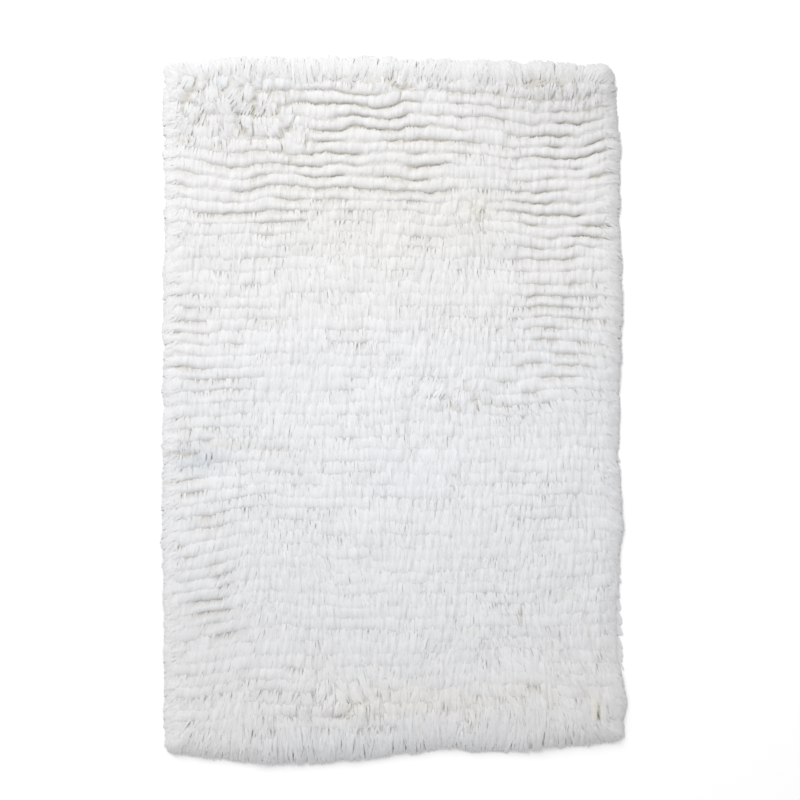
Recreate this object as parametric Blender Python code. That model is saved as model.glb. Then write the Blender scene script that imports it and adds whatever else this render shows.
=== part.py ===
"""Hand-woven wool shag rug, lying flat, as one closed solid.

Metres, +Z up. The rug lies on z = 0 with the middle of its outline at the origin. +Y is the end whose
pile falls away from the rest, and the other rows of pile fall towards -Y.

The top is a grid that follows the woven rows: each row of knots has a parting line, low, and a crest,
high. A shoulder rolls the pile down to the rim, and each piece of the rim grows into one wool lock
that rests on the floor.
"""

import math
import random

import bmesh
import bpy
from mathutils import Vector, noise

# The woven ground, as laid: a slightly skewed rectangle
GROUND_CORNERS = {
    "bottom_left": Vector((-0.567, -0.868)),
    "bottom_right": Vector((0.570, -0.832)),
    "top_right": Vector((0.553, 0.872)),
    "top_left": Vector((-0.567, 0.889)),
}
CORNER_ROUNDING = 0.035
CORNER_PULL = 0.010

# Rows of knotted pile, counted from the bottom edge
ROW_COUNT = 54
COLUMNS = 22
CREST_SHARE = 0.38
ROW_SWAY = 0.0045
ROW_SWAY_LENGTH = 0.30
ROW_SWAY_STEP = 0.35
TUFT_SHIFT = 0.004
TUFT_RISE = 0.0022

# Heights above the floor
PARTING_HEIGHT = 0.026
RIDGE_STANDING = 0.011
RIDGE_PRESSED = 0.005
LUMP_RISE = 0.008
LUMP_SIZE = (0.16, 0.09)
LUMP_LAYER = 3.7
RIM_HEIGHT = 0.021
RIM_UNEVEN = 0.003
SHOULDER_WIDTH = 0.024
SHOULDER_DROP = 0.18
LEAST_HEIGHT = 0.016

# Where the pile stands up or lies pressed: columns are middle x, middle y, half width, half length and
# how much it stands, from -1 to 1
STANDING_PLACES = (
    (0.00, 0.72, 0.70, 0.30, 0.9),
    (0.52, 0.45, 0.22, 0.40, 0.7),
    (-0.54, 0.20, 0.16, 0.50, 0.4),
    (0.33, 0.02, 0.26, 0.09, 0.6),
    (0.05, -0.45, 0.45, 0.45, -0.6),
)

# Tousled humps and trodden hollows: columns are middle x, middle y, half width, half length and rise
UNEVEN_PLACES = (
    (-0.42, 0.79, 0.19, 0.09, 0.009),
    (-0.30, 0.75, 0.07, 0.05, 0.006),
    (0.45, 0.84, 0.16, 0.04, 0.006),
    (0.18, 0.50, 0.09, 0.05, 0.005),
    (-0.50, -0.15, 0.13, 0.05, -0.009),
    (0.10, 0.03, 0.14, 0.04, 0.005),
    (0.46, -0.08, 0.12, 0.03, -0.006),
    (0.52, -0.76, 0.05, 0.09, -0.006),
    (-0.12, -0.77, 0.22, 0.05, 0.004),
)

# Locks along each side, and how they lie. Columns of a side's rows are the place along the side, where
# the tips end across it, and the lean in degrees towards +X or +Y
LOCKS_ACROSS = 52
LOCKS_ALONG = 80
SIDE_SHAPES = {
    "bottom": (
        (-0.55, -0.899, -18),
        (-0.40, -0.918, -8),
        (-0.29, -0.928, 4),
        (-0.09, -0.915, 0),
        (0.12, -0.885, 6),
        (0.33, -0.894, -4),
        (0.54, -0.869, 14),
    ),
    "right": (
        (-0.86, 0.603, -38),
        (-0.75, 0.610, -44),
        (-0.62, 0.582, -40),
        (-0.44, 0.585, -32),
        (-0.28, 0.602, -22),
        (-0.13, 0.586, -20),
        (0.08, 0.592, -14),
        (0.29, 0.599, -4),
        (0.50, 0.590, 6),
        (0.70, 0.594, 10),
        (0.82, 0.577, 12),
    ),
    "top": (
        (-0.50, 0.905, -6),
        (-0.40, 0.919, 4),
        (-0.09, 0.919, 0),
        (0.12, 0.909, 8),
        (0.33, 0.906, -6),
        (0.54, 0.896, 8),
    ),
    "left": (
        (-0.84, -0.594, -16),
        (-0.54, -0.597, -20),
        (-0.33, -0.602, -18),
        (-0.13, -0.601, -8),
        (0.30, -0.599, -12),
        (0.52, -0.594, 2),
        (0.74, -0.601, 6),
        (0.82, -0.598, 12),
    ),
}
CORNER_FAN = 0.075
CORNER_TURN = 45.0
LOCK_SHORTEST = 0.70
LOCK_LEAST_LENGTH = 0.020
LOCK_TIP_HEIGHT = 0.0025
LOCK_SWING = 0.30

# Sections of a lock: columns are share of its length, width and height as shares of its root's, narrowing
# of its upper side, and height of its underside
LOCK_SECTIONS = (
    (0.40, 0.80, 0.70, 0.70, 0.0004),
    (0.76, 0.50, 0.38, 0.60, 0.0008),
)

WOOL_COLOUR = (0.82, 0.81, 0.78, 1.0)
WOOL_ROUGHNESS = 0.95
SEED = 11

SIDES = ("bottom", "right", "top", "left")
SIDE_ENDS = {
    "bottom": ("bottom_left", "bottom_right"),
    "right": ("bottom_right", "top_right"),
    "top": ("top_right", "top_left"),
    "left": ("top_left", "bottom_left"),
}
OUTWARD_ANGLES = {"bottom": -90.0, "right": 0.0, "top": 90.0, "left": 180.0}


def smooth_step(share):
    """0 at 0 and below, 1 at 1 and above, with a soft start and end."""
    share = min(1.0, max(0.0, share))
    return share * share * (3.0 - 2.0 * share)


def on_ground(across, along):
    """The flat place at shares of the ground's width, from the left, and length, from the bottom."""
    low = GROUND_CORNERS["bottom_left"].lerp(GROUND_CORNERS["bottom_right"], across)
    high = GROUND_CORNERS["top_left"].lerp(GROUND_CORNERS["top_right"], across)
    return low.lerp(high, along)


def inside(place, middle_x, middle_y, half_width, half_length):
    """1 in the middle of an oval place, falling softly to 0 at its edge."""
    away = math.hypot((place.x - middle_x) / half_width, (place.y - middle_y) / half_length)
    return 1.0 - smooth_step(away)


def row_sway(place, row):
    """How far a row of pile strays from its straight line. The noise is about -0.5 to 0.5."""
    spot = Vector((place.x / ROW_SWAY_LENGTH, place.y / ROW_SWAY_LENGTH, row * ROW_SWAY_STEP))
    return 2.0 * ROW_SWAY * noise.noise(spot)


def pile_height(place, crest):
    """Height of the pile at a place, where crest is 0 on a parting and 1 on a row's crest."""
    standing = sum(share * inside(place, *oval) for *oval, share in STANDING_PLACES)
    ridge = RIDGE_PRESSED + (RIDGE_STANDING - RIDGE_PRESSED) * smooth_step(0.5 + standing / 2.0)
    lump = LUMP_RISE * noise.noise(Vector((place.x / LUMP_SIZE[0], place.y / LUMP_SIZE[1], LUMP_LAYER)))
    uneven = sum(rise * inside(place, *oval) for *oval, rise in UNEVEN_PLACES)
    return max(LEAST_HEIGHT, PARTING_HEIGHT + crest * ridge + lump + uneven)


def shape_rows(bm, random_source):
    """Lays the grid's points out as the pile's partings and crests. Returns its edge loop in order."""
    lines = 2 * ROW_COUNT
    inset_across = SHOULDER_WIDTH / (GROUND_CORNERS["bottom_right"].x - GROUND_CORNERS["bottom_left"].x)
    inset_along = SHOULDER_WIDTH / (GROUND_CORNERS["top_left"].y - GROUND_CORNERS["bottom_left"].y)
    grid = {}
    for point in bm.verts:
        column = round((point.co.x + 0.5) * COLUMNS)
        line = round((point.co.y + 0.5) * lines)
        row, on_crest = divmod(line, 2)
        across = inset_across + (1.0 - 2.0 * inset_across) * column / COLUMNS
        along = inset_along + (1.0 - 2.0 * inset_along) * (row + on_crest * CREST_SHARE) / ROW_COUNT
        place = on_ground(across, along)
        height = pile_height(place, on_crest)
        if column in (0, COLUMNS) or line in (0, lines):
            height *= 1.0 - SHOULDER_DROP
        else:
            place.y += row_sway(place, row) + random_source.uniform(-TUFT_SHIFT, TUFT_SHIFT)
            height += random_source.uniform(-TUFT_RISE, TUFT_RISE)
        point.co = (place.x, place.y, height)
        grid[column, line] = point
    bottom = [(grid[c, 0], c / COLUMNS) for c in range(COLUMNS)]
    right = [(grid[COLUMNS, n], 1 + n / lines) for n in range(lines)]
    top = [(grid[COLUMNS - c, lines], 2 + c / COLUMNS) for c in range(COLUMNS)]
    left = [(grid[0, lines - n], 3 + n / lines) for n in range(lines)]
    return bottom + right + top + left


def rim_places():
    """The rim's points, from the bottom left corner round to the right, each with its distance round."""
    places = []
    for number, side in enumerate(SIDES):
        start, end = (GROUND_CORNERS[name] for name in SIDE_ENDS[side])
        count = LOCKS_ACROSS if side in ("bottom", "top") else LOCKS_ALONG
        for step in range(count):
            place = start.lerp(end, step / count)
            for corner in (start, end):
                near = max(0.0, 1.0 - (place - corner).length / CORNER_ROUNDING)
                place = place - corner.normalized() * CORNER_PULL * near
            places.append((place, number + step / count))
    return places


def stitch(bm, inner, outer):
    """Fills the shoulder between two loops of points with triangles, whatever their counts."""
    i = j = 0
    while i < len(inner) or j < len(outer):
        next_inner = inner[(i + 1) % len(inner)][1] + 4 * ((i + 1) // len(inner))
        next_outer = outer[(j + 1) % len(outer)][1] + 4 * ((j + 1) // len(outer))
        here = inner[i % len(inner)][0]
        there = outer[j % len(outer)][0]
        if j == len(outer) or (i < len(inner) and next_inner <= next_outer):
            bm.faces.new((here, there, inner[(i + 1) % len(inner)][0]))
            i += 1
        else:
            bm.faces.new((here, there, outer[(j + 1) % len(outer)][0]))
            j += 1


def side_shape(side, place):
    """(where the tips end, lean in degrees) at a place along a side, eased between the table's rows."""
    rows = SIDE_SHAPES[side]
    spot = place.x if side in ("bottom", "top") else place.y
    for (start, tips, lean), (end, next_tips, next_lean) in zip(rows, rows[1:]):
        if spot <= end or end == rows[-1][0]:
            share = smooth_step((spot - start) / (end - start))
            return tips + (next_tips - tips) * share, lean + (next_lean - lean) * share


def outward_angle(side, place, lean):
    """The way a lock points, in degrees, fanned round towards the corner where one is near."""
    angle = OUTWARD_ANGLES[side] + (lean if side in ("bottom", "right") else -lean)
    for name, turn in zip(SIDE_ENDS[side], (-CORNER_TURN, CORNER_TURN)):
        near = smooth_step(1.0 - (place - GROUND_CORNERS[name]).length / CORNER_FAN)
        angle += (OUTWARD_ANGLES[side] + turn - angle) * near
    return math.radians(angle)


def grow_lock(bm, root, side, random_source):
    """Draws one piece of the rim out into a tapering lock that settles onto the floor."""
    points = [Vector(v.co) for v in root.verts]
    middle = sum(points, Vector()) / len(points)
    place = middle.xy
    tips, lean = side_shape(side, place)
    angle = outward_angle(side, place, lean)
    outward = Vector((math.cos(angle), math.sin(angle), 0.0))
    across_side = place.y if side in ("bottom", "top") else place.x
    overhang = max(LOCK_LEAST_LENGTH, abs(tips) - abs(across_side))
    length = overhang * random_source.uniform(LOCK_SHORTEST, 1.0)
    swing = random_source.uniform(-LOCK_SWING, LOCK_SWING)
    along = Vector((-outward.y, outward.x, 0.0))
    width = max(p.dot(along) for p in points) - min(p.dot(along) for p in points)
    height = max(p.z for p in points)
    floor_middle = Vector((middle.x, middle.y, 0.0))
    face = root
    for share, wide, high, narrowing, underside in LOCK_SECTIONS:
        face = bmesh.ops.extrude_discrete_faces(bm, faces=[face])["faces"][0]
        centre = face.calc_center_median()
        at = floor_middle + outward * length * share + along * swing * width * share * share
        for corner in face.verts:
            upper = corner.co.z > centre.z
            hand = 1.0 if (corner.co - centre).dot(along) > 0.0 else -1.0
            half = width * wide * (narrowing if upper else 1.0) / 2.0
            lift = height * high if upper else underside
            corner.co = at + along * hand * half + Vector((0.0, 0.0, lift))
    tip = bmesh.ops.poke(bm, faces=[face])["verts"][0]
    tip.co = floor_middle + outward * length + along * swing * width + Vector((0.0, 0.0, LOCK_TIP_HEIGHT))


def lay_on_middle(bm):
    """Moves the rug so that the middle of its outline is at the origin."""
    for axis in (0, 1):
        low = min(v.co[axis] for v in bm.verts)
        high = max(v.co[axis] for v in bm.verts)
        for point in bm.verts:
            point.co[axis] -= (low + high) / 2.0


def build_rug():
    """The whole rug: rows of pile, shoulder, rim with its locks, and flat underside."""
    random_source = random.Random(SEED)
    bm = bmesh.new()
    bmesh.ops.create_grid(bm, x_segments=COLUMNS, y_segments=2 * ROW_COUNT, size=0.5)
    inner = shape_rows(bm, random_source)

    rim = []
    for place, distance in rim_places():
        height = RIM_HEIGHT + random_source.uniform(-RIM_UNEVEN, RIM_UNEVEN)
        rim.append((bm.verts.new((place.x, place.y, height)), distance))
    stitch(bm, inner, rim)

    rim_edges = [bm.edges.get((rim[n][0], rim[(n + 1) % len(rim)][0])) for n in range(len(rim))]
    wall = bmesh.ops.extrude_edge_only(bm, edges=rim_edges)["geom"]
    for point in wall:
        if isinstance(point, bmesh.types.BMVert):
            point.co.z = 0.0
    roots = [next(f for f in edge.link_faces if len(f.verts) == 4) for edge in rim_edges]
    floor_edges = [edge for edge in bm.edges if edge.is_boundary]
    bmesh.ops.contextual_create(bm, geom=floor_edges)
    bmesh.ops.recalc_face_normals(bm, faces=bm.faces)

    for root, (_, distance) in zip(roots, rim):
        grow_lock(bm, root, SIDES[int(distance)], random_source)
    bmesh.ops.recalc_face_normals(bm, faces=bm.faces)
    lay_on_middle(bm)
    return bm


def wool():
    """Off-white, dull wool."""
    material = bpy.data.materials.new("white_wool")
    material.use_nodes = True
    shader = material.node_tree.nodes["Principled BSDF"]
    shader.inputs["Base Color"].default_value = WOOL_COLOUR
    shader.inputs["Roughness"].default_value = WOOL_ROUGHNESS
    shader.inputs["Metallic"].default_value = 0.0
    return material


def main():
    for old in list(bpy.data.objects):
        bpy.data.objects.remove(old)
    bm = build_rug()
    mesh = bpy.data.meshes.new("woven_shag_rug")
    bm.to_mesh(mesh)
    bm.free()
    mesh.materials.append(wool())
    rug = bpy.data.objects.new("woven_shag_rug", mesh)
    bpy.context.scene.collection.objects.link(rug)


main()
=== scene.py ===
"""White hand-woven wool shag rug, lying flat on a pale studio floor, seen from straight above.

The rug is a thin woven ground, an under-wool that fills the pile and follows its rows, and the long locks of
wool that lie over it. One height, worked out for any place by pile_surface, shapes them all: soft rolls with
narrow partings at the top and along the sides, pressed wool in the middle, tousled clumps and a few creases.
Metres, +Z up.
"""

import bpy
import numpy as np
from bpy.props import FloatProperty, FloatVectorProperty, IntProperty, PointerProperty
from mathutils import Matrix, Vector, noise


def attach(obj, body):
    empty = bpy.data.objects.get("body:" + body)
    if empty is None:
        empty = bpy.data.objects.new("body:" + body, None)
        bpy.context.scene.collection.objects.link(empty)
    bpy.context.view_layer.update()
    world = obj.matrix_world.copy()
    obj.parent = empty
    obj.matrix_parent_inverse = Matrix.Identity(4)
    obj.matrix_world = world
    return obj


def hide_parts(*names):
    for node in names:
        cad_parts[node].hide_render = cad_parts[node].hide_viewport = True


bl_info = {
    "name": "Wool shag rug",
    "version": (1, 0, 0),
    "blender": (4, 5, 0),
    "location": "3D View > Sidebar > Shag rug",
    "description": "Builds a white hand-woven wool shag rug and a studio to look at it in",
    "category": "Add Mesh",
}

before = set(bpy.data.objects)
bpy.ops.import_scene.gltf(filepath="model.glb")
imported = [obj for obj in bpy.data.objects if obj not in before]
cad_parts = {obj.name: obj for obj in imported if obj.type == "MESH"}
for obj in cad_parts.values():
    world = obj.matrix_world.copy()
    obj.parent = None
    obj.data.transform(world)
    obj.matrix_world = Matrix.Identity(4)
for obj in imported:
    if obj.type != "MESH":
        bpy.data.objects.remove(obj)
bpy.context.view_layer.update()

# The woven ground, as laid: a slightly skewed rectangle
GROUND_CORNERS = {
    "bottom_left": (-0.567, -0.868),
    "bottom_right": (0.570, -0.832),
    "top_right": (0.553, 0.872),
    "top_left": (-0.567, 0.889),
}
GROUND_LIFT = 0.0004

# Rows of knotted pile, counted from the bottom edge
ROWS = 54
ROW_INSET = 0.024
ROW_PITCH = 0.0316
BANDS = 6

# How the partings wander. Columns: how far, over what length
SWAYS = ((0.0056, 0.27), (0.0044, 0.088), (0.0020, 0.021))

# Where the partings run askew. Columns: middle x, middle y, half width, half length, rise per metre to +X
SLANTS = (
    (-0.46, -0.44, 0.34, 0.54, 0.20),
    (-0.52, 0.56, 0.22, 0.16, -0.14),
    (-0.34, 0.60, 0.16, 0.10, 0.20),
    (0.50, 0.60, 0.24, 0.26, 0.15),
    (0.50, 0.14, 0.26, 0.26, -0.16),
    (0.20, 0.02, 0.30, 0.14, -0.20),
    (0.22, 0.72, 0.30, 0.16, -0.08),
)

# Where the pile stands in rolls. Columns: middle x, middle y, half width, half length, how much it stands
STANDING = (
    (0.00, 0.76, 0.95, 0.52, 1.2),
    (0.56, 0.34, 0.34, 0.60, 0.8),
    (-0.58, 0.24, 0.32, 0.62, 0.8),
    (0.28, 0.02, 0.40, 0.09, 0.5),
    (-0.56, -0.32, 0.28, 0.40, 0.35),
    (-0.54, -0.58, 0.30, 0.44, 0.40),
)

# Where the pile is tousled. Columns: middle x, middle y, half width, half length, how much
TOUSLED = (
    (-0.44, 0.79, 0.26, 0.15, 1.3),
    (-0.28, 0.70, 0.12, 0.10, 0.7),
    (0.00, 0.85, 0.24, 0.06, 0.8),
    (0.42, 0.83, 0.26, 0.09, 0.8),
    (0.20, 0.50, 0.12, 0.08, 0.6),
    (0.16, 0.02, 0.20, 0.06, 0.7),
    (-0.14, -0.77, 0.34, 0.10, 0.7),
    (0.28, -0.78, 0.30, 0.07, 0.6),
)

# Humps and hollows. Columns: middle x, middle y, half width, half length, rise
UNEVEN = (
    (-0.42, 0.79, 0.19, 0.09, 0.007),
    (-0.30, 0.75, 0.07, 0.05, 0.004),
    (0.45, 0.84, 0.16, 0.04, 0.005),
    (0.18, 0.50, 0.09, 0.05, 0.004),
    (-0.50, -0.15, 0.13, 0.05, -0.007),
    (0.10, 0.03, 0.14, 0.04, 0.004),
    (0.46, -0.08, 0.12, 0.03, -0.004),
    (0.52, -0.76, 0.05, 0.09, -0.004),
    (-0.12, -0.77, 0.22, 0.05, 0.003),
)

# How locks lean away from straight down. Columns: middle x, middle y, half width, half length, degrees to +X
LEANING = (
    (0.44, -0.70, 0.26, 0.24, 22.0),
    (0.40, 0.02, 0.26, 0.20, 24.0),
    (0.24, 0.46, 0.16, 0.12, 20.0),
    (-0.46, -0.60, 0.24, 0.40, -20.0),
    (-0.20, -0.45, 0.12, 0.16, 14.0),
    (-0.10, -0.76, 0.14, 0.10, 16.0),
)

# Creases and pits pressed into the pile. Columns: x and y of one end, x and y of the other, half width, depth
CREASES = (
    (-0.372, 0.788, -0.341, 0.770, 0.007, 0.014),
    (-0.334, 0.775, -0.300, 0.772, 0.006, 0.012),
    (-0.515, 0.757, -0.481, 0.746, 0.007, 0.012),
    (-0.416, 0.736, -0.380, 0.725, 0.007, 0.013),
    (-0.554, 0.705, -0.515, 0.697, 0.006, 0.010),
    (-0.471, 0.686, -0.429, 0.694, 0.006, 0.010),
    (-0.290, 0.702, -0.288, 0.730, 0.005, 0.008),
    (-0.225, 0.688, -0.220, 0.712, 0.005, 0.008),
    (-0.270, 0.640, -0.262, 0.660, 0.005, 0.007),
    (-0.008, 0.881, 0.008, 0.871, 0.006, 0.009),
    (0.205, 0.838, 0.225, 0.832, 0.005, 0.008),
    (0.265, 0.829, 0.283, 0.824, 0.005, 0.008),
    (0.300, 0.850, 0.500, 0.862, 0.006, 0.008),
    (0.309, 0.809, 0.525, 0.819, 0.005, 0.008),
    (0.500, 0.780, 0.530, 0.776, 0.008, 0.008),
    (0.205, 0.528, 0.250, 0.510, 0.007, 0.008),
    (0.140, 0.018, 0.176, 0.003, 0.006, 0.009),
    (0.235, 0.024, 0.300, 0.012, 0.006, 0.007),
    (-0.580, -0.109, -0.463, -0.120, 0.005, 0.010),
    (-0.502, -0.088, -0.268, -0.101, 0.007, 0.006),
    (-0.500, -0.280, -0.478, -0.288, 0.010, 0.007),
    (0.335, -0.512, 0.335, -0.559, 0.004, 0.009),
    (0.434, -0.575, 0.437, -0.608, 0.004, 0.008),
    (0.507, -0.569, 0.520, -0.612, 0.004, 0.005),
    (0.534, -0.640, 0.540, -0.672, 0.004, 0.005),
    (0.484, -0.709, 0.512, -0.752, 0.005, 0.006),
    (0.538, -0.768, 0.534, -0.832, 0.0035, 0.013),
    (0.558, -0.765, 0.566, -0.800, 0.003, 0.007),
    (0.190, -0.800, 0.215, -0.842, 0.004, 0.009),
    (0.160, -0.790, 0.130, -0.770, 0.006, 0.008),
)

# Tint of the wool. Columns: middle x, middle y, half width, half length, above 0 creamy and below 0 bluish.
# The bluish tint in the hollow at the left is painted shade
TINTS = (
    (0.05, -0.78, 0.55, 0.08, 0.35),
    (0.38, -0.74, 0.18, 0.07, 0.25),
    (0.21, 0.51, 0.07, 0.05, 0.45),
    (0.00, 0.40, 0.70, 0.50, 0.20),
    (-0.51, -0.15, 0.16, 0.06, -0.80),
    (0.00, -0.92, 0.70, 0.10, -0.30),
    (0.05, -0.22, 1.10, 0.80, -0.50),
    (-0.40, 0.86, 0.30, 0.08, -0.30),
    (0.536, -0.80, 0.03, 0.06, 1.00),
)

# Lighter and greyer places, partly greyer wool and mostly painted light and painted shade: brighter in the
# middle, darker at the top, the bottom right corner and a hollow at the left. Columns: middle x, middle y,
# half width, half length, change of tone
PAINTED_LIGHT_AND_SHADE = (
    (0.50, 0.84, 0.40, 0.26, -3.0),
    (-0.44, 0.84, 0.34, 0.20, -1.8),
    (0.00, 0.93, 0.90, 0.12, -0.8),
    (0.53, -0.84, 0.14, 0.14, -1.6),
    (0.00, -0.10, 0.95, 0.85, 1.9),
    (-0.50, -0.15, 0.16, 0.06, -1.8),
)

# How the locks lie along each edge. Columns: place along the edge, where the tips end across it, lean in
# degrees towards +X or +Y
EDGES = {
    "bottom": (
        (-0.55, -0.899, -18),
        (-0.40, -0.918, -8),
        (-0.29, -0.928, 4),
        (-0.09, -0.915, 0),
        (0.12, -0.885, 6),
        (0.33, -0.894, -4),
        (0.54, -0.869, 14),
    ),
    "right": (
        (-0.86, 0.603, -38),
        (-0.75, 0.610, -48),
        (-0.62, 0.584, -46),
        (-0.44, 0.587, -42),
        (-0.28, 0.603, -36),
        (-0.13, 0.588, -38),
        (0.08, 0.594, -34),
        (0.29, 0.601, -30),
        (0.50, 0.592, -26),
        (0.70, 0.595, -10),
        (0.82, 0.580, 12),
    ),
    "top": (
        (-0.50, 0.915, -14),
        (-0.40, 0.929, 10),
        (-0.24, 0.925, -12),
        (-0.09, 0.929, 8),
        (0.12, 0.920, 16),
        (0.33, 0.917, -10),
        (0.54, 0.906, 14),
    ),
    "left": (
        (-0.84, -0.596, -24),
        (-0.54, -0.599, -40),
        (-0.33, -0.604, -38),
        (-0.13, -0.603, -24),
        (0.30, -0.601, -30),
        (0.52, -0.596, -22),
        (0.74, -0.602, -8),
        (0.82, -0.600, 12),
    ),
}
EDGE_ENDS = {
    "bottom": ("bottom_left", "bottom_right", -90.0),
    "right": ("bottom_right", "top_right", 0.0),
    "top": ("top_right", "top_left", 90.0),
    "left": ("top_left", "bottom_left", 180.0),
}

# The outline's corner radius, the margin in which locks turn outwards, the margin in which the pile's surface
# falls away, and the least height of a lock over the floor
CORNER_ROUND = 0.030
EDGE_TURN = 0.085
EDGE_ROLL = 0.062
FLOOR_CLEAR = 0.0016

# How far inside the ground's edge the edge locks are rooted. The outermost splay out over it
EDGE_ROOTS = {
    "bottom": (0.0, 0.085),
    "right": (-0.016, 0.020),
    "top": (-0.004, 0.042),
    "left": (-0.016, 0.020),
}
SIDE_SPLAY = 0.014

# How far the edge locks turn outwards at a corner, in degrees, and their shortest and longest reach
CORNER_FAN = 42.0
SHORTEST_REACH = 0.01
LONGEST_REACH = 0.13

# Waves of the tip line along every edge. Columns: how far, over what length, where they start
EDGE_WAVES = ((0.0014, 0.077, 1.0), (0.0018, 0.143, 2.1))

TUFT_WIDTH = 0.012
CLUMP_WIDTH = 0.042

# Tousled clumps: how far they rise and sink, and the pits between them
CLUMP_RISE = 0.003
PIT_DEPTH = 0.011
PIT_WIDTH = 0.008

# How much lower pressed wool lies than rolls, and the height of the pile at its very rim
PRESSED_DROP = 0.003
RIM_HEIGHT = 0.003

# Depth below the surface at which the wool has its full root colour, which is partly the warmer wool near the
# roots and partly painted shade in partings, creases and pits
DEEPEST = 0.012

# The under-wool's grid: points across it, lines within a row as shares of it, and lines in each end margin
UNDER_WOOL_COLUMNS = 150
UNDER_WOOL_IN_ROW = (0.0, 0.07, 0.2, 0.45, 0.75)
UNDER_WOOL_END_LINES = 4

# How far the under-wool stops short of the tips, the width of its rounded rim, and its least thickness
UNDER_WOOL_INSET = 0.014
UNDER_WOOL_ROLL = 0.032
UNDER_WOOL_LEAST = 0.0005

# Gap between the ground and the wool over it
MESH_GAP = 0.0003

# The ground's yarns, and how far apart the bands of a wave texture are at a scale of 1
WARP_PITCH = 0.0052
WEFT_PITCH = 0.0038
WAVE_TEXTURE_PITCH = 0.314

# The studio. The view's width is measured at the height of the pile's middle
FLOOR_SIZE = 14.0
LAMP_PLACE = (-1.6, 3.0, 3.4)
LAMP_SIZE = 3.2
VIEW_MIDDLE = (0.0182, 0.0286)
VIEW_HEIGHT = 0.03
SENSOR_WIDTH = 36.0

# Along a lock, from root to tip: share of its length, share of its width, height over the pile's surface
LOCK_STATIONS = (
    (0.00, 0.60, -0.0030),
    (0.20, 1.00, 0.0000),
    (0.56, 1.00, 0.0006),
    (0.88, 0.82, 0.0003),
    (1.00, 0.00, -0.0008),
)
LOCK_SIDES = 3

# Steepest rise of a lock across its width, for each metre of width
STEEPEST_TILT = 0.8

SEED = 23
CLUMP_DRAWS = np.random.default_rng(SEED).uniform(-1.0, 1.0, (64, 64, 6))


class RugSizes(bpy.types.PropertyGroup):
    """Sizes of the pile."""

    pile_height: FloatProperty(
        name="Pile height", description="Height of the pile over the floor", default=0.034, unit="LENGTH"
    )
    parting_standing: FloatProperty(
        name="Parting, standing",
        description="Depth of the partings between rolls",
        default=0.0085,
        unit="LENGTH",
    )
    parting_pressed: FloatProperty(
        name="Parting, pressed",
        description="Depth of the partings in pressed wool",
        default=0.0042,
        unit="LENGTH",
    )
    lump_rise: FloatProperty(
        name="Lumps", description="Height of the soft lumps of the pile", default=0.005, unit="LENGTH"
    )
    tuft_rise: FloatProperty(
        name="Tufts",
        description="Height of the soft ridge that each tuft makes",
        default=0.0018,
        unit="LENGTH",
    )
    locks_per_row: IntProperty(
        name="Locks in a row", description="How many wool locks one row of knots holds", default=630
    )
    edge_lock_pitch: FloatProperty(
        name="Edge locks", description="Length of edge for each lock over it", default=0.00095, unit="LENGTH"
    )
    lock_width: FloatProperty(
        name="Lock width", description="Width of a lock at its widest", default=0.0074, unit="LENGTH"
    )
    lock_thickness: FloatProperty(
        name="Lock thickness", description="Thickness of a lock at its widest", default=0.0012, unit="LENGTH"
    )
    under_wool_depth: FloatProperty(
        name="Under-wool",
        description="How far the under-wool lies below the locks",
        default=0.0011,
        unit="LENGTH",
    )
    ground_thickness: FloatProperty(
        name="Ground thickness", description="Thickness of the woven ground", default=0.003, unit="LENGTH"
    )


class RugColours(bpy.types.PropertyGroup):
    """Colours of the wool."""

    tip: FloatVectorProperty(
        name="Tips", description="Wool at the tips of the locks", default=(0.70, 0.70, 0.705), subtype="COLOR"
    )
    # The root colour is partly the warmer wool near the roots and partly painted shade: it darkens the wool in
    # partings, creases and pits
    root: FloatVectorProperty(
        name="Roots", description="Wool deep in the pile", default=(0.60, 0.57, 0.51), subtype="COLOR"
    )
    creamy: FloatVectorProperty(
        name="Creamy", description="Yellowed wool", default=(0.70, 0.675, 0.61), subtype="COLOR"
    )
    # The bluish colour also serves as painted shade, in the hollow at the left
    bluish: FloatVectorProperty(
        name="Bluish", description="Cool dull wool", default=(0.665, 0.690, 0.720), subtype="COLOR"
    )
    ground: FloatVectorProperty(
        name="Ground", description="Yarn of the woven ground", default=(0.78, 0.74, 0.65), subtype="COLOR"
    )


class StudioSettings(bpy.types.PropertyGroup):
    """Camera and light."""

    metres_across: FloatProperty(
        name="Width of view", description="Width that the picture takes in", default=2.08, unit="LENGTH"
    )
    camera_height: FloatProperty(
        name="Camera height", description="Height of the camera over the floor", default=6.0, unit="LENGTH"
    )
    world_light: FloatProperty(
        name="Surrounding light", description="Strength of the even light from all round", default=0.75
    )
    key_light: FloatProperty(
        name="Window light", description="Power of the large soft light", default=155.0, unit="POWER"
    )


def smooth_step(share):
    """0 at 0 and below, 1 at 1 and above, with a soft start and end."""
    share = np.clip(share, 0.0, 1.0)
    return share * share * (3.0 - 2.0 * share)


def soft_noise(x, y, length, layer):
    """Smooth noise of about -1 to 1 at each place, with lumps of the given length."""
    layers = np.broadcast_to(layer, x.shape)
    points = zip((x / length).tolist(), (y / length).tolist(), layers.tolist())
    return 2.0 * np.array([noise.noise(Vector(point)) for point in points])


def ovals(x, y, table):
    """Sum of the table's soft oval places, each by the value in its last column."""
    total = np.zeros_like(x)
    for middle_x, middle_y, half_width, half_length, value in table:
        away = np.hypot((x - middle_x) / half_width, (y - middle_y) / half_length)
        total += value * (1.0 - smooth_step(away))
    return total


def creases(x, y):
    """Depth of the creases at each place."""
    total = np.zeros_like(x)
    for start_x, start_y, end_x, end_y, half_width, depth in CREASES:
        way_x, way_y = end_x - start_x, end_y - start_y
        share = ((x - start_x) * way_x + (y - start_y) * way_y) / (way_x**2 + way_y**2)
        share = np.clip(share, 0.0, 1.0)
        away = np.hypot(x - start_x - share * way_x, y - start_y - share * way_y)
        taper = 0.35 + 0.65 * np.sin(np.pi * np.clip(0.15 + 0.7 * share, 0.0, 1.0))
        total = np.maximum(total, depth * taper * np.exp(-((away / half_width) ** 2)))
    return total


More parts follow.
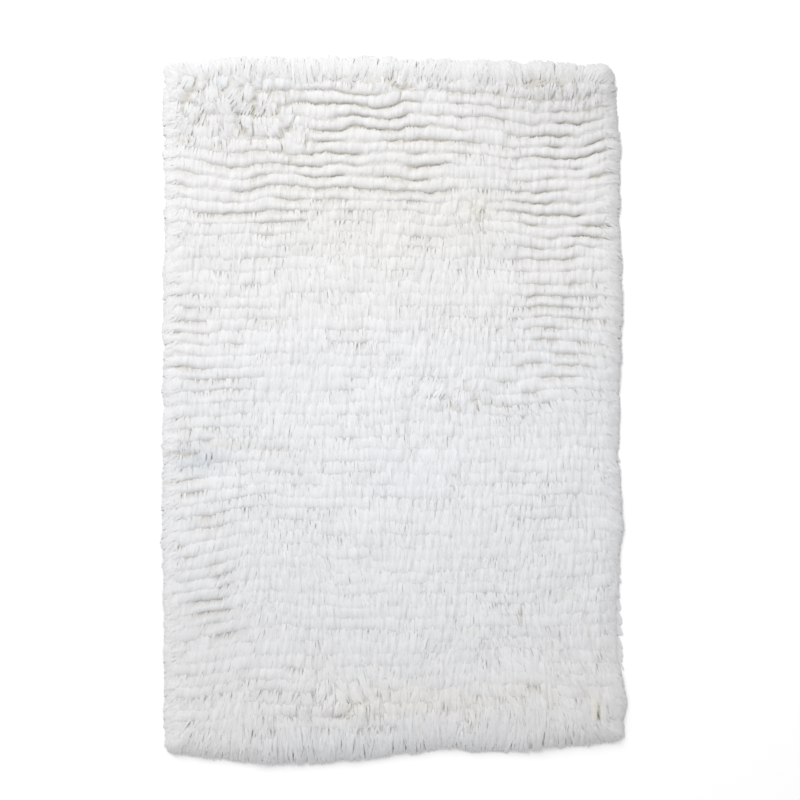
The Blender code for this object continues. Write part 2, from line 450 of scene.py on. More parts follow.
def clumps(x, y):
    """The middle of the clump that each place is in, how far inside it lies, and the clump's own draws."""
    bent_x, bent_y = x + 0.006 * soft_noise(x, y, 0.04, 1.2), y + 0.006 * soft_noise(x, y, 0.04, 6.6)
    nearest, second = np.full(x.shape, 1.0), np.full(x.shape, 1.0)
    middle_x, middle_y, draws = x.copy(), y.copy(), np.zeros((*x.shape, 6))
    for step in range(9):
        j = np.floor(bent_y / CLUMP_WIDTH).astype(int) + step // 3 - 1
        stagger = 0.5 * (j % 2)
        i = np.floor(bent_x / CLUMP_WIDTH - stagger).astype(int) + step % 3 - 1
        draw = CLUMP_DRAWS[i % 64, j % 64]
        here_x = (i + 0.5 + stagger + 0.45 * draw[..., 0]) * CLUMP_WIDTH
        here_y = (j + 0.5 + 0.45 * draw[..., 1]) * CLUMP_WIDTH
        away = np.hypot(bent_x - here_x, bent_y - here_y)
        nearer = away < nearest
        second = np.where(nearer, nearest, np.minimum(second, away))
        nearest = np.where(nearer, away, nearest)
        middle_x, middle_y = np.where(nearer, here_x, middle_x), np.where(nearer, here_y, middle_y)
        draws = np.where(nearer[..., None], draw, draws)
    return middle_x, middle_y, second - nearest, draws


def row_ends(x):
    """y of the lowest and of the highest parting, before they wander."""
    low = [GROUND_CORNERS["bottom_left"], GROUND_CORNERS["bottom_right"]]
    high = [GROUND_CORNERS["top_left"], GROUND_CORNERS["top_right"]]
    low_y = np.interp(x, *zip(*low)) + ROW_INSET
    return low_y, np.interp(x, *zip(*high)) - ROW_INSET


def row_at(x, y):
    """Each place's row, where whole numbers are the partings, counted from the bottom edge."""
    low, high = row_ends(x)
    shift = sum(far * soft_noise(x, y, length, 11.3 * length) for far, length in SWAYS)
    shift = shift * (1.0 + 0.4 * smooth_step((y - 0.35) / 0.4))
    for slant in SLANTS:
        shift = shift - ovals(x, y, [slant]) * (x - slant[0])
    return (y - low) / (high - low) * ROWS + shift / ROW_PITCH


def y_of_row(x, row):
    """y at which each x meets a row."""
    low, high = row_ends(x)
    y = low + (high - low) * row / ROWS
    for _ in range(2):
        y = y + (row - row_at(x, y)) * ROW_PITCH
    return y


def tip_line(name, spot):
    """Where the tips end across an edge, at each place along it."""
    spots, tips, _ = zip(*EDGES[name])
    waves = sum(
        far * np.sin(2.0 * np.pi * spot / length + start + tips[0]) for far, length, start in EDGE_WAVES
    )
    return np.interp(spot, spots, tips) + waves


def inside_outline(x, y):
    """How far inside the outline that the tips make a place lies. Its corners are round."""
    from_side = np.minimum(x - tip_line("left", y), tip_line("right", y) - x)
    from_end = np.minimum(y - tip_line("bottom", x), tip_line("top", x) - y)
    corner = np.hypot(np.maximum(CORNER_ROUND - from_side, 0.0), np.maximum(CORNER_ROUND - from_end, 0.0))
    return CORNER_ROUND - corner + np.maximum(np.minimum(from_side, from_end) - CORNER_ROUND, 0.0)


def rounded(share):
    """0 at 0, rising to 1 at 1, steeply at first and then ever less, as the side of a soft heap does."""
    return (1.0 - (1.0 - np.clip(share, 0.0, 1.0)) ** 2) ** 0.75


def standing_at(x, y):
    """How much the pile stands up, from 0, pressed, to 1, in rolls."""
    return np.clip(ovals(x, y, STANDING) + 0.30 * soft_noise(x, y, 0.15, 5.5), 0.0, 1.0)


def tousled_at(x, y):
    """How tousled the pile is, from 0 to 1."""
    return np.clip(ovals(x, y, TOUSLED), 0.0, 1.0)


def pile_surface(x, y, sizes):
    """Height of the pile's surface at each place, and how far below the level round it that is."""
    row = row_at(x, y)
    parting = np.round(row)
    above = row - parting
    stands, tousle = standing_at(x, y), tousled_at(x, y)
    dip = np.exp(-((above / np.where(above > 0.0, 0.16 - 0.06 * stands, 0.32 - 0.13 * stands)) ** 2))
    own = parting * 0.71
    broken = 0.45 + 1.2 * soft_noise(x, own, 0.11, 9.3) + 0.6 * soft_noise(x, own, 0.04, 3.3)
    strength = np.clip(broken + 0.25 * stands, 0.0, 1.0) * (1.0 - 0.8 * tousle)
    depth = sizes.parting_pressed + (sizes.parting_standing - sizes.parting_pressed) * stands
    _, _, gap, draws = clumps(x, y)
    pitted = np.clip(0.5 + 0.9 * draws[..., 2], 0.0, 1.0)
    pit = tousle * (PIT_DEPTH * pitted * np.exp(-((gap / PIT_WIDTH) ** 2)))
    below = np.maximum(depth * strength * dip, pit)
    below = np.maximum(below, creases(x, y))
    level = sizes.pile_height + sizes.lump_rise * 0.5 * soft_noise(x, y, 0.11, 3.7) + ovals(x, y, UNEVEN)
    level += sizes.lump_rise * (0.16 + 0.14 * stands) * soft_noise(x, y, 0.032, 6.1)
    level += sizes.tuft_rise * (1.0 - 0.4 * stands) * soft_noise(x, 0.28 * y, 0.010, 2.9)
    level += CLUMP_RISE * tousle * draws[..., 3] - PRESSED_DROP * (1.0 - stands)
    edge = rounded(inside_outline(x, y) / EDGE_ROLL)
    height = RIM_HEIGHT + (level - below - RIM_HEIGHT) * edge
    return np.maximum(FLOOR_CLEAR, height), below * edge


def surface_along(lines, sizes):
    """Height of the pile's surface along lines of points, and how far below the level round it that is."""
    heights, below = pile_surface(*lines.reshape(-1, 2).T, sizes)
    return heights.reshape(lines.shape[:2]), below.reshape(lines.shape[:2])


def new_mesh_object(name, points, corners, counts):
    """A mesh object from arrays: points, the point of each face's corners in turn, and corners per face."""
    mesh = bpy.data.meshes.new(name)
    mesh.vertices.add(len(points))
    mesh.vertices.foreach_set("co", points.astype(np.float32).ravel())
    mesh.loops.add(len(corners))
    mesh.loops.foreach_set("vertex_index", corners.astype(np.int32))
    starts = np.concatenate([[0], np.cumsum(counts)[:-1]]).astype(np.int32)
    mesh.polygons.add(len(counts))
    mesh.polygons.foreach_set("loop_start", starts)
    mesh.polygons.foreach_set("use_smooth", np.ones(len(counts), bool))
    mesh.update(calc_edges=True)
    piece = bpy.data.objects.new(name, mesh)
    bpy.context.scene.collection.objects.link(piece)
    return piece


def set_values(mesh, name, values):
    """Stores one number for each point of a mesh, for its material to read."""
    mesh.attributes.new(name, "FLOAT", "POINT").data.foreach_set("value", values.astype(np.float32).ravel())


def gather_tufts(x, row_key, width, random):
    """Each lock's tuft: x of its middle and six draws that all its locks share."""
    uneven = 0.35 * soft_noise(x, row_key * 0.031, 0.031, 1.7)
    cell = np.floor(x / width + uneven + 0.37 * row_key).astype(int)
    _, tuft = np.unique(cell * 1009 + row_key.astype(int), return_inverse=True)
    draws = random.uniform(-1.0, 1.0, (tuft.max() + 1, 6))
    return (np.bincount(tuft, x) / np.bincount(tuft))[tuft], draws[tuft]


def lay_row_locks(rows, sizes, random):
    """Roots, tips and differences of the locks in these rows, as a dict of arrays."""
    row = np.repeat(rows.astype(float), sizes.locks_per_row)
    count = len(row)
    share = np.tile(np.arange(sizes.locks_per_row), len(rows)) + random.uniform(0.0, 1.0, count)
    y = y_of_row(np.zeros(count), row)
    left = np.interp(y, *zip(GROUND_CORNERS["bottom_left"][::-1], GROUND_CORNERS["top_left"][::-1]))
    right = np.interp(y, *zip(GROUND_CORNERS["bottom_right"][::-1], GROUND_CORNERS["top_right"][::-1]))
    x = left - SIDE_SPLAY + (right - left + 2.0 * SIDE_SPLAY) * share / sizes.locks_per_row
    y = y_of_row(x, row)
    stands, tousle = standing_at(x, y), tousled_at(x, y)
    tuft_x, tuft = gather_tufts(x, row, TUFT_WIDTH, random)
    draw = random.uniform(-1.0, 1.0, (count, 8))
    free = random.uniform(0.0, 1.0, count)

    # In rolls the locks run from one parting to the next, and in pressed wool they end over the next row
    pressed = 1.0 - stands
    tip_share = stands * (0.10 * free - 0.02) + pressed * (0.44 * free - 0.18)
    tip_share += (0.02 + 0.05 * pressed) * tuft[:, 0]
    root_share = stands * (1.02 + 0.05 * draw[:, 0]) + pressed * (tip_share + 1.5 + 0.10 * draw[:, 0])
    root_y = y_of_row(x, row + root_share)
    degrees = ovals(x, y, LEANING) + 9.0 * soft_noise(x, y, 0.19, 8.1) * (1.0 - 0.5 * stands)
    degrees += (5.0 + 14.0 * tousle) * tuft[:, 2] + 5.0 * draw[:, 2]
    lean = np.tan(np.radians(np.clip(degrees, -60.0, 60.0)))
    gather = 0.14 + 0.12 * tuft[:, 1]
    fall = (root_share - tip_share) * ROW_PITCH
    tip_x = x + fall * lean + (tuft_x - x) * gather
    tip_y = y_of_row(tip_x, row + tip_share)

    # Tousled locks lie across their clump, and each clump is combed its own way
    clump_x, clump_y, _, clump = clumps(x, 0.5 * (root_y + tip_y))
    turn = -0.5 * np.pi + 1.0 * clump[:, 4] + 0.25 * draw[:, 6]
    way_x, way_y = np.cos(turn), np.sin(turn)
    beside = 0.66 * CLUMP_WIDTH * draw[:, 1]
    behind = CLUMP_WIDTH * (0.62 + 0.16 * draw[:, 0])
    ahead = CLUMP_WIDTH * (0.56 + 0.20 * draw[:, 3])
    pull = 0.55 * tousle
    root_x = x + pull * (clump_x - behind * way_x - beside * way_y - x)
    root_y = root_y + pull * (clump_y - behind * way_y + beside * way_x - root_y)
    tip_x = tip_x + pull * (clump_x + ahead * way_x - 0.7 * beside * way_y - tip_x)
    tip_y = tip_y + pull * (clump_y + ahead * way_y + 0.7 * beside * way_x - tip_y)

    # Near a side the locks turn outwards
    for name in ("left", "right"):
        spots, _, leans = zip(*EDGES[name])
        side = 1.0 if name == "right" else -1.0
        out = np.radians(EDGE_ENDS[name][2] + side * np.interp(y, spots, leans))
        near = 0.55 * smooth_step(1.0 - side * (tip_line(name, y) - x) / EDGE_TURN)
        tip_x = tip_x + near * (x + 0.9 * fall * np.cos(out) - tip_x)
        tip_y = tip_y + near * (root_y + 0.9 * fall * np.sin(out) - tip_y)
    return {
        "root": np.stack([root_x, root_y], 1),
        "tip": np.stack([tip_x, tip_y], 1),
        "lift": 0.0004 * tuft[:, 4] + 0.0004 * draw[:, 4] + 0.0015 * tousle * clump[:, 5],
        "curl": 0.0035 * stands,
        "wave": (0.0012 + 0.0030 * tousle) * draw[:, 5],
        "phase": np.pi * draw[:, 6],
        "size": 1.0 + 0.22 * tuft[:, 3] + 0.15 * draw[:, 3],
        # Tone: random for each tuft and lock, plus painted light and painted shade from the table of lighter
        # and darker places
        "tone_and_painted_shading": 0.6 * tuft[:, 5] + 0.4 * draw[:, 7] + ovals(tip_x, tip_y, PAINTED_LIGHT_AND_SHADE),
    }


def lay_edge_locks(name, sizes, random):
    """The same for the locks that spill over one edge."""
    start, end, straight = EDGE_ENDS[name]
    a, b = np.array(GROUND_CORNERS[start]), np.array(GROUND_CORNERS[end])
    length = np.linalg.norm(b - a)
    way = (b - a) / length
    inward = np.array([-way[1], way[0]])
    count = int(length / sizes.edge_lock_pitch)
    spot = length * (np.arange(count) + random.uniform(0.0, 1.0, count)) / count
    draw = random.uniform(-1.0, 1.0, (count, 8))
    inwards = random.uniform(0.0, 1.0, count)
    depth = np.interp(inwards, (0.0, 1.0), EDGE_ROOTS[name])
    depth *= np.clip(0.9 + 0.7 * soft_noise(spot, 0.0 * spot, 0.07, 7.7 + straight), 0.6, 1.3)
    tuft_spot, tuft = gather_tufts(spot, np.floor(3.0 * inwards), TUFT_WIDTH, random)

    root = a + way * spot[:, None] + inward * depth[:, None]
    spots, _, leans = zip(*EDGES[name])
    along = root[:, 0] if name in ("bottom", "top") else root[:, 1]
    lean = np.interp(along, spots, leans) * (1.0 if name in ("bottom", "right") else -1.0)
    fan = smooth_step(1.0 - (length - spot) / EDGE_TURN) - smooth_step(1.0 - spot / EDGE_TURN)
    degrees = straight + lean * (1.0 - np.abs(fan)) + CORNER_FAN * fan + 13.0 * tuft[:, 2] + 9.0 * draw[:, 2]
    heading = np.radians(degrees)
    going = np.stack([np.cos(heading), np.sin(heading)], 1)

    # Each lock is about as long as the way to the outline, and most are somewhat shorter
    reach = np.full(count, 0.03)
    for _ in range(6):
        tip = root + going * reach[:, None]
        reach = np.clip(reach + inside_outline(tip[:, 0], tip[:, 1]), SHORTEST_REACH, LONGEST_REACH)
    shorter = 0.06 + 0.50 * inwards
    reach *= 1.0 - shorter * random.uniform(0.0, 1.0, count) ** 1.5
    reach += 0.0035 * tuft[:, 0] + 0.0025 * draw[:, 0]
    gather = 0.28 + 0.22 * tuft[:, 1]
    tip = root + going * reach[:, None] + way * ((tuft_spot - spot) * gather)[:, None]
    return {
        "root": root,
        "tip": tip,
        "lift": 0.0008 * tuft[:, 4] + 0.0007 * draw[:, 4],
        "curl": np.zeros(count),
        "wave": 0.0030 * draw[:, 5],
        "phase": np.pi * draw[:, 6],
        "size": 1.0 + 0.22 * tuft[:, 3] + 0.15 * draw[:, 3],
        # Tone: random for each tuft and lock, plus painted light and painted shade from the table of lighter
        # and darker places
        "tone_and_painted_shading": 0.6 * tuft[:, 5] + 0.4 * draw[:, 7] + ovals(*tip.T, PAINTED_LIGHT_AND_SHADE),
    }


def lock_lines(locks, share, height, sizes):
    """The locks' middle lines, the directions across them, and how far they lie below the level around."""
    flat = locks["tip"] - locks["root"]
    way = flat / np.maximum(np.linalg.norm(flat, axis=1), 1e-6)[:, None]
    side = np.stack([-way[:, 1], way[:, 0]], 1)
    waved = locks["wave"][:, None] * np.sin(1.7 * np.pi * share + locks["phase"][:, None]) * share
    line_xy = locks["root"][:, None] + flat[:, None] * share[:, None] + side[:, None] * waved[..., None]
    top, below = surface_along(line_xy, sizes)
    line_z = top + height + locks["lift"][:, None] * np.minimum(1.0, 3.0 * share)
    line_z -= locks["curl"][:, None] * share**8
    line = np.concatenate([line_xy, line_z[..., None]], 2)

    # Across its width, each lock tilts as the pile below it does
    beside = 0.3 * sizes.lock_width * side[:, None]
    left_top, _ = surface_along(line_xy - beside, sizes)
    right_top, _ = surface_along(line_xy + beside, sizes)
    tilt = np.clip((right_top - left_top) / (0.6 * sizes.lock_width), -STEEPEST_TILT, STEEPEST_TILT)
    across = np.concatenate([np.broadcast_to(side[:, None], line_xy.shape), tilt[..., None]], 2)
    return line, across / np.linalg.norm(across, axis=2, keepdims=True), below


def one_lock_faces(share):
    """The faces of one lock, and where each of their corners lies in the lock's own square of the map."""
    faces, squares = [], []
    tip = (len(share) - 1) * LOCK_SIDES
    last = tip - LOCK_SIDES
    for ring, (near, far) in enumerate(zip(share[:-2], share[1:-1])):
        low, high = ring * LOCK_SIDES, (ring + 1) * LOCK_SIDES
        for at in range(LOCK_SIDES):
            after = (at + 1) % LOCK_SIDES
            left, right = at / LOCK_SIDES, (at + 1) / LOCK_SIDES
            faces.append((low + at, low + after, high + after, high + at))
            squares.append(((left, near), (right, near), (right, far), (left, far)))
    for at in range(LOCK_SIDES):
        left, right = at / LOCK_SIDES, (at + 1) / LOCK_SIDES
        faces.append((last + at, last + (at + 1) % LOCK_SIDES, tip))
        squares.append(((left, share[-2]), (right, share[-2]), (0.5 * (left + right), 1.0)))
    faces.append(tuple(reversed(range(LOCK_SIDES))))
    squares.append(((0.0, -0.07), (1.0, -0.07), (0.5, -0.01)))
    return faces, squares


def lay_chart(mesh, squares, count):
    """Gives a mesh of locks its map, where each lock has one square of a grid."""
    square = np.array([place for face in squares for place in face])
    columns = int(np.ceil(np.sqrt(count)))
    spot = np.stack([np.arange(count) % columns, np.arange(count) // columns], 1)
    chart = (spot[:, None] + 0.10 + 0.84 * square[None]) / columns
    mesh.uv_layers.new(name="OFBake").data.foreach_set("uv", chart.astype(np.float32).ravel())


def shade_under_sides_apart(mesh, per_lock):
    """Makes the edges of each lock's under side sharp, so that its upper sides stay softly round."""
    ends = np.empty(len(mesh.edges) * 2, np.int32)
    mesh.edges.foreach_get("vertices", ends)
    within = ends.reshape(-1, 2) % per_lock
    low, high = within.min(1), within.max(1)
    tip = per_lock - 1
    under_side = (high - low == LOCK_SIDES) & (low % LOCK_SIDES != 0) & (high < tip)
    to_tip = (high == tip) & (low != tip - LOCK_SIDES)
    sharp = mesh.attributes.new("sharp_edge", "BOOLEAN", "EDGE")
    sharp.data.foreach_set("value", under_side | to_tip)


def lock_mesh(name, locks, sizes):
    """One joined mesh of these locks, each a closed, tapering, slightly wavy strand lying on the pile."""
    count = len(locks["tip"])
    share, width, height = (np.array(column) for column in zip(*LOCK_STATIONS))
    line, across, below = lock_lines(locks, share, height, sizes)
    tangent = np.gradient(line, axis=1)
    tangent /= np.linalg.norm(tangent, axis=2, keepdims=True)
    over = np.cross(tangent, across)
    rings = len(share) - 1
    turn = 2.0 * np.pi * np.arange(LOCK_SIDES) / LOCK_SIDES + 0.5 * np.pi
    half_width = 0.5 * sizes.lock_width * locks["size"][:, None] * width[None, :rings]
    half_thickness = 0.5 * sizes.lock_thickness * width[None, :rings]
    ring_points = (
        line[:, :rings, None]
        + across[:, :rings, None] * (half_width[..., None] * np.cos(turn))[..., None]
        + over[:, :rings, None] * (half_thickness[..., None] * np.sin(turn))[..., None]
    )
    points = np.concatenate([ring_points.reshape(count, -1, 3), line[:, -1:]], 1)
    points[..., 2] = np.maximum(points[..., 2], FLOOR_CLEAR)
    per_lock = points.shape[1]

    faces, squares = one_lock_faces(share)
    one = np.array([corner for face in faces for corner in face])
    corners = (one[None, :] + per_lock * np.arange(count)[:, None]).ravel()
    corner_counts = np.tile([len(face) for face in faces], count)
    piece = new_mesh_object(name, points.reshape(-1, 3), corners, corner_counts)
    mesh = piece.data
    lay_chart(mesh, squares, count)
    shade_under_sides_apart(mesh, per_lock)
    every = np.concatenate([np.repeat(np.arange(rings), LOCK_SIDES), [rings]])
    # Painted shade: how deep each point lies below the level round it, which turns the wool towards the darker
    # root colour in partings, creases and pits
    set_values(mesh, "deep", below[:, every] / DEEPEST)
    # Random tone plus painted light and painted shade, for the material to scale the colour by
    set_values(mesh, "tone_and_painted_shading", np.repeat(locks["tone_and_painted_shading"], per_lock))
    set_values(mesh, "tint", np.repeat(ovals(*locks["tip"].T, TINTS), per_lock))
    return piece


def attribute_value(nodes, name):
    """A node that reads one of the mesh's own values."""
    node = nodes.new("ShaderNodeAttribute")
    node.attribute_name = name
    return node.outputs["Fac"]


def remap(nodes, links, value, low, high, to_low, to_high):
    """A node that takes a value from one span to another, held to its ends."""
    node = nodes.new("ShaderNodeMapRange")
    for key, number in zip(("From Min", "From Max", "To Min", "To Max"), (low, high, to_low, to_high)):
        node.inputs[key].default_value = number
    links.new(value, node.inputs["Value"])
    return node.outputs["Result"]


def mixed(nodes, links, share, colour, other):
    """A node that blends from a colour or socket to another by a share."""
    node = nodes.new("ShaderNodeMix")
    node.data_type = "RGBA"
    links.new(share, node.inputs["Factor"])
    for key, given in (("A", colour), ("B", other)):
        socket = next(s for s in node.inputs if s.name == key and s.type == "RGBA")
        if isinstance(given, bpy.types.NodeSocket):
            links.new(given, socket)
        else:
            socket.default_value = (*given, 1.0)
    return next(s for s in node.outputs if s.type == "RGBA")


def fibre_noise(nodes, links, source, scale):
    """Streaks of fibre: noise drawn out along one axis of the source."""
    mapping = nodes.new("ShaderNodeMapping")
    mapping.inputs["Scale"].default_value = scale
    links.new(source, mapping.inputs["Vector"])
    streaks = nodes.new("ShaderNodeTexNoise")
    streaks.inputs["Scale"].default_value = 1.0
    streaks.inputs["Detail"].default_value = 3.0
    links.new(mapping.outputs["Vector"], streaks.inputs["Vector"])
    return streaks.outputs["Fac"]


def wool_material(name, colours, streak_source, streak_scale, streak_depth):
    """Dull soft wool: white at the tips, creamy and darker deep in the pile, partly as its own warmer root
    colour and partly as painted shade in partings, creases and pits, and streaked along its fibres.
    """
    material = bpy.data.materials.new(name)
    material.use_nodes = True
    nodes, links = material.node_tree.nodes, material.node_tree.links
    shader = nodes["Principled BSDF"]
    shader.inputs["Roughness"].default_value = 0.9
    shader.inputs["Sheen Weight"].default_value = 0.06
    shader.inputs["Sheen Roughness"].default_value = 0.6
    shader.inputs["Specular IOR Level"].default_value = 0.15

    if streak_source == "UV":
        source = nodes.new("ShaderNodeUVMap")
        source.uv_map = "OFBake"
    else:
        source = nodes.new("ShaderNodeTexCoord")
    streaks = fibre_noise(nodes, links, source.outputs[streak_source], streak_scale)
    deep = remap(nodes, links, attribute_value(nodes, "deep"), 0.05, 0.95, 0.0, 1.0)
    creamy = remap(nodes, links, attribute_value(nodes, "tint"), 0.0, 1.0, 0.0, 1.0)
    bluish = remap(nodes, links, attribute_value(nodes, "tint"), 0.0, -1.0, 0.0, 1.0)
    colour = mixed(nodes, links, creamy, tuple(colours.tip), tuple(colours.creamy))
    colour = mixed(nodes, links, bluish, colour, tuple(colours.bluish))
    # Deeper in the pile the wool turns to the root colour: partly warmer wool, partly painted shade in
    # partings, creases and pits
    colour = mixed(nodes, links, deep, colour, tuple(colours.root))
    # The colour is scaled by the tone, which is random for each lock plus painted light and painted shade, and
    # by the fibre streaks
    for value, low, high, dark, light in (
        (attribute_value(nodes, "tone_and_painted_shading"), -4.0, 3.0, 0.8425, 1.105),
        (streaks, 0.3, 0.7, 0.95, 1.03),
    ):
        shade = remap(nodes, links, value, low, high, dark, light)
        scaled = nodes.new("ShaderNodeVectorMath")
        scaled.operation = "SCALE"
        links.new(colour, scaled.inputs[0])
        links.new(shade, scaled.inputs["Scale"])
        colour = scaled.outputs["Vector"]
    links.new(colour, shader.inputs["Base Color"])
    bump = nodes.new("ShaderNodeBump")
    bump.inputs["Distance"].default_value = streak_depth
    links.new(streaks, bump.inputs["Height"])
    links.new(bump.outputs["Normal"], shader.inputs["Normal"])
    return material


def ground_material(name, colours):
    """Plain weave in thick wool yarn: a pale warp crossed by a heavier weft."""
    material = bpy.data.materials.new(name)
    material.use_nodes = True
    nodes, links = material.node_tree.nodes, material.node_tree.links
    shader = nodes["Principled BSDF"]
    shader.inputs["Roughness"].default_value = 0.95
    place = nodes.new("ShaderNodeTexCoord")
    heights = []
    for direction, pitch in (("X", WARP_PITCH), ("Y", WEFT_PITCH)):
        yarn = nodes.new("ShaderNodeTexWave")
        yarn.bands_direction = direction
        yarn.inputs["Scale"].default_value = WAVE_TEXTURE_PITCH / pitch
        yarn.inputs["Distortion"].default_value = 0.6
        yarn.inputs["Detail"].default_value = 2.0
        links.new(place.outputs["Object"], yarn.inputs["Vector"])
        heights.append(yarn.outputs["Fac"])
    weave = nodes.new("ShaderNodeMath")
    weave.operation = "MAXIMUM"
    links.new(heights[0], weave.inputs[0])
    links.new(heights[1], weave.inputs[1])
    # Painted shade: the weave is darker where its yarns lie low, in the hollows between them, down to 0.72 of
    # the yarn colour
    shade = remap(nodes, links, weave.outputs[0], 0.2, 1.0, 0.0, 1.0)
    dark = tuple(0.72 * part for part in colours.ground)
    links.new(mixed(nodes, links, shade, dark, tuple(colours.ground)), shader.inputs["Base Color"])
    bump = nodes.new("ShaderNodeBump")
    bump.inputs["Distance"].default_value = 0.0012
    links.new(weave.outputs[0], bump.inputs["Height"])
    links.new(bump.outputs["Normal"], shader.inputs["Normal"])
    return material


def deselect_all():
    """Leaves nothing selected."""
    bpy.ops.object.select_all(action="DESELECT")


def close_grid(floor_height):
    """Closes the grid being worked on with a wall and a flat floor, and turns its faces outwards."""
    mesh = bpy.context.object.data
    grid_points = len(mesh.vertices)
    bpy.ops.object.mode_set(mode="EDIT")
    bpy.ops.mesh.select_all(action="SELECT")
    bpy.ops.mesh.region_to_loop()
    bpy.ops.mesh.extrude_edges_move(TRANSFORM_OT_translate={"value": (0.0, 0.0, -0.001)})
    bpy.ops.object.mode_set(mode="OBJECT")
    for point in mesh.vertices[grid_points:]:
        point.co.z = floor_height
    bpy.ops.object.mode_set(mode="EDIT")
    bpy.ops.mesh.edge_face_add()
    bpy.ops.mesh.select_all(action="SELECT")
    bpy.ops.mesh.normals_make_consistent(inside=False)
    bpy.ops.object.mode_set(mode="OBJECT")


class RUG_OT_woven_ground(bpy.types.Operator):
    """Weaves the thin ground that the pile is knotted into"""

    bl_idname = "rug.woven_ground"
    bl_label = "Woven ground"

    def execute(self, context):
        sizes, colours = context.scene.rug_sizes, context.scene.rug_colours
        deselect_all()
        bpy.ops.mesh.primitive_grid_add(x_subdivisions=22, y_subdivisions=36, size=1.0)
        ground = context.object
        ground.name = ground.data.name = "woven_ground"
        corners = {name: np.array(corner) for name, corner in GROUND_CORNERS.items()}
        for point in ground.data.vertices:
            across, along = point.co.x + 0.5, point.co.y + 0.5
            low = corners["bottom_left"] * (1.0 - across) + corners["bottom_right"] * across
            high = corners["top_left"] * (1.0 - across) + corners["top_right"] * across
            point.co = (*(low * (1.0 - along) + high * along), GROUND_LIFT + sizes.ground_thickness)
        close_grid(GROUND_LIFT)
        ground.data.materials.append(ground_material("ground_yarn", colours))
        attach(ground, "root")
        return {"FINISHED"}


class RUG_OT_under_wool(bpy.types.Operator):
    """Fills the pile below its locks with short wool that follows the rows"""

    bl_idname = "rug.under_wool"
    bl_label = "Under-wool"

    def execute(self, context):
        sizes, colours = context.scene.rug_sizes, context.scene.rug_colours
        rows = np.concatenate([row + np.array(UNDER_WOOL_IN_ROW) for row in range(ROWS)] + [[float(ROWS)]])
        lines = len(rows) + 2 * UNDER_WOOL_END_LINES
        deselect_all()
        bpy.ops.mesh.primitive_grid_add(
            x_subdivisions=UNDER_WOOL_COLUMNS, y_subdivisions=lines - 1, size=1.0
        )
        body = context.object
        body.name = body.data.name = "under_wool"
        mesh = body.data

        # The lines follow the partings, and in both end margins they come to follow the tips. Their points lie
        # closer together near the sides
        inset = UNDER_WOOL_INSET
        across = np.tile(np.linspace(0.0, 1.0, UNDER_WOOL_COLUMNS + 1), lines)
        line = np.repeat(np.arange(lines), UNDER_WOOL_COLUMNS + 1)
        row = np.clip(line - UNDER_WOOL_END_LINES, 0, len(rows) - 1)
        down = np.interp(line, [0, UNDER_WOOL_END_LINES], [1.0, 0.0])
        up = np.interp(line, [lines - 1 - UNDER_WOOL_END_LINES, lines - 1], [0.0, 1.0])
        y = np.zeros(len(across))
        for _ in range(3):
            left, right = tip_line("left", y) + inset, tip_line("right", y) - inset
            x = left + (right - left) * (across - 0.055 * np.sin(2.0 * np.pi * across))
            y = y_of_row(x, rows[row])
            y = y + down * (tip_line("bottom", x) + inset - y) + up * (tip_line("top", x) - inset - y)
        top, below = pile_surface(x, y, sizes)
        floor = GROUND_LIFT + sizes.ground_thickness + MESH_GAP
        edge = rounded((inside_outline(x, y) - 0.5 * inset) / UNDER_WOOL_ROLL)
        z = floor + UNDER_WOOL_LEAST + np.maximum(top - sizes.under_wool_depth - floor, 0.0) * edge
        mesh.vertices.foreach_set("co", np.stack([x, y, z], 1).astype(np.float32).ravel())
        # Painted shade: the under-wool lies below the locks, so it is always partly turned to the darker root
        # colour, and more so in partings, creases and pits
        set_values(mesh, "deep", 0.25 + below / DEEPEST)
        set_values(mesh, "tint", ovals(x, y, TINTS))
        # Random tone plus painted light and painted shade from the table of lighter and darker places
        set_values(mesh, "tone_and_painted_shading", 0.5 * soft_noise(x, y, 0.02, 4.4) + ovals(x, y, PAINTED_LIGHT_AND_SHADE))
        close_grid(floor)
        bpy.ops.object.shade_smooth()
        wool = wool_material("under_wool", colours, "Object", (900.0, 90.0, 200.0), 0.0012)
        body.data.materials.append(wool)
        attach(body, "root")
        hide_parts("woven_shag_rug")
        return {"FINISHED"}


class RUG_OT_pile(bpy.types.Operator):
    """Lays the long wool locks, in bands of rows and along the edges"""

    bl_idname = "rug.pile"
    bl_label = "Long pile"

    def execute(self, context):
        sizes, colours = context.scene.rug_sizes, context.scene.rug_colours
        random = np.random.default_rng(SEED)
        wool = wool_material("long_wool", colours, "UV", (900.0, 130.0, 1.0), 0.0006)
        laid = {
            f"pile_band_{band + 1}": lay_row_locks(rows, sizes, random)
            for band, rows in enumerate(np.array_split(np.arange(ROWS), BANDS))
        }
        laid.update({f"pile_{name}_edge": lay_edge_locks(name, sizes, random) for name in EDGE_ENDS})
        for name, locks in laid.items():
            piece = lock_mesh(name, locks, sizes)
            piece.data.materials.append(wool)
            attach(piece, "root")
        return {"FINISHED"}


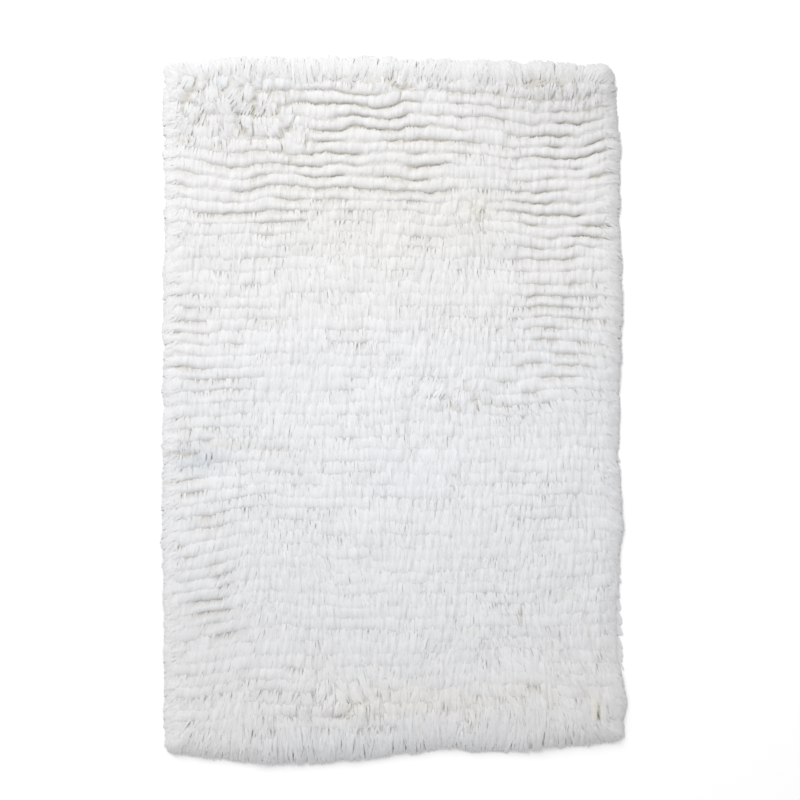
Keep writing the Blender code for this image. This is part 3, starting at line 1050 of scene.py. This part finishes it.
class RUG_OT_studio(bpy.types.Operator):
    """Sets up the floor, the soft light and the camera straight above"""

    bl_idname = "rug.studio"
    bl_label = "Studio"

    def execute(self, context):
        settings = context.scene.studio_settings
        deselect_all()
        bpy.ops.mesh.primitive_plane_add(size=FLOOR_SIZE, location=(0.0, 0.0, 0.0))
        floor = context.object
        floor.name = "studio_floor"
        material = bpy.data.materials.new("studio_white")
        material.use_nodes = True
        shader = material.node_tree.nodes["Principled BSDF"]
        shader.inputs["Base Color"].default_value = (0.99, 0.99, 0.99, 1.0)
        shader.inputs["Roughness"].default_value = 1.0
        shader.inputs["Specular IOR Level"].default_value = 0.0
        floor.data.materials.append(material)

        world = bpy.data.worlds.new("studio_air")
        context.scene.world = world
        world.use_nodes = True
        background = world.node_tree.nodes["Background"]
        background.inputs["Color"].default_value = (1.0, 1.0, 1.0, 1.0)
        background.inputs["Strength"].default_value = settings.world_light

        lamp = bpy.data.lights.new("window_light", "AREA")
        lamp.energy = settings.key_light
        lamp.size = LAMP_SIZE
        light = bpy.data.objects.new("window_light", lamp)
        light.location = LAMP_PLACE
        light.rotation_euler = (-light.location).to_track_quat("-Z", "Y").to_euler()
        context.scene.collection.objects.link(light)

        camera_data = bpy.data.cameras.new("camera_above")
        camera_data.sensor_width = SENSOR_WIDTH
        camera_data.lens = SENSOR_WIDTH * (settings.camera_height - VIEW_HEIGHT) / settings.metres_across
        camera = bpy.data.objects.new("camera_above", camera_data)
        camera.location = (*VIEW_MIDDLE, settings.camera_height)
        context.scene.collection.objects.link(camera)
        context.scene.camera = camera
        context.scene.view_settings.view_transform = "Standard"
        return {"FINISHED"}


class RUG_PT_panel(bpy.types.Panel):
    """Lists the rug's pieces"""

    bl_idname = "RUG_PT_panel"
    bl_label = "Shag rug"
    bl_space_type = "VIEW_3D"
    bl_region_type = "UI"
    bl_category = "Shag rug"

    def draw(self, context):
        for group in (context.scene.rug_sizes, context.scene.rug_colours, context.scene.studio_settings):
            box = self.layout.box()
            for name in group.__annotations__:
                box.prop(group, name)
        for operator in OPERATORS:
            self.layout.operator(operator.bl_idname)


OPERATORS = (RUG_OT_woven_ground, RUG_OT_under_wool, RUG_OT_pile, RUG_OT_studio)
GROUPS = {"rug_sizes": RugSizes, "rug_colours": RugColours, "studio_settings": StudioSettings}


def register():
    for group in (*GROUPS.values(), *OPERATORS, RUG_PT_panel):
        bpy.utils.register_class(group)
    for name, group in GROUPS.items():
        setattr(bpy.types.Scene, name, PointerProperty(type=group))


def unregister():
    for name in GROUPS:
        delattr(bpy.types.Scene, name)
    for group in reversed((*GROUPS.values(), *OPERATORS, RUG_PT_panel)):
        bpy.utils.unregister_class(group)


def main():
    register()
    bpy.ops.rug.woven_ground()
    bpy.ops.rug.under_wool()
    bpy.ops.rug.pile()
    bpy.ops.rug.studio()


if __name__ == "__main__":
    main()
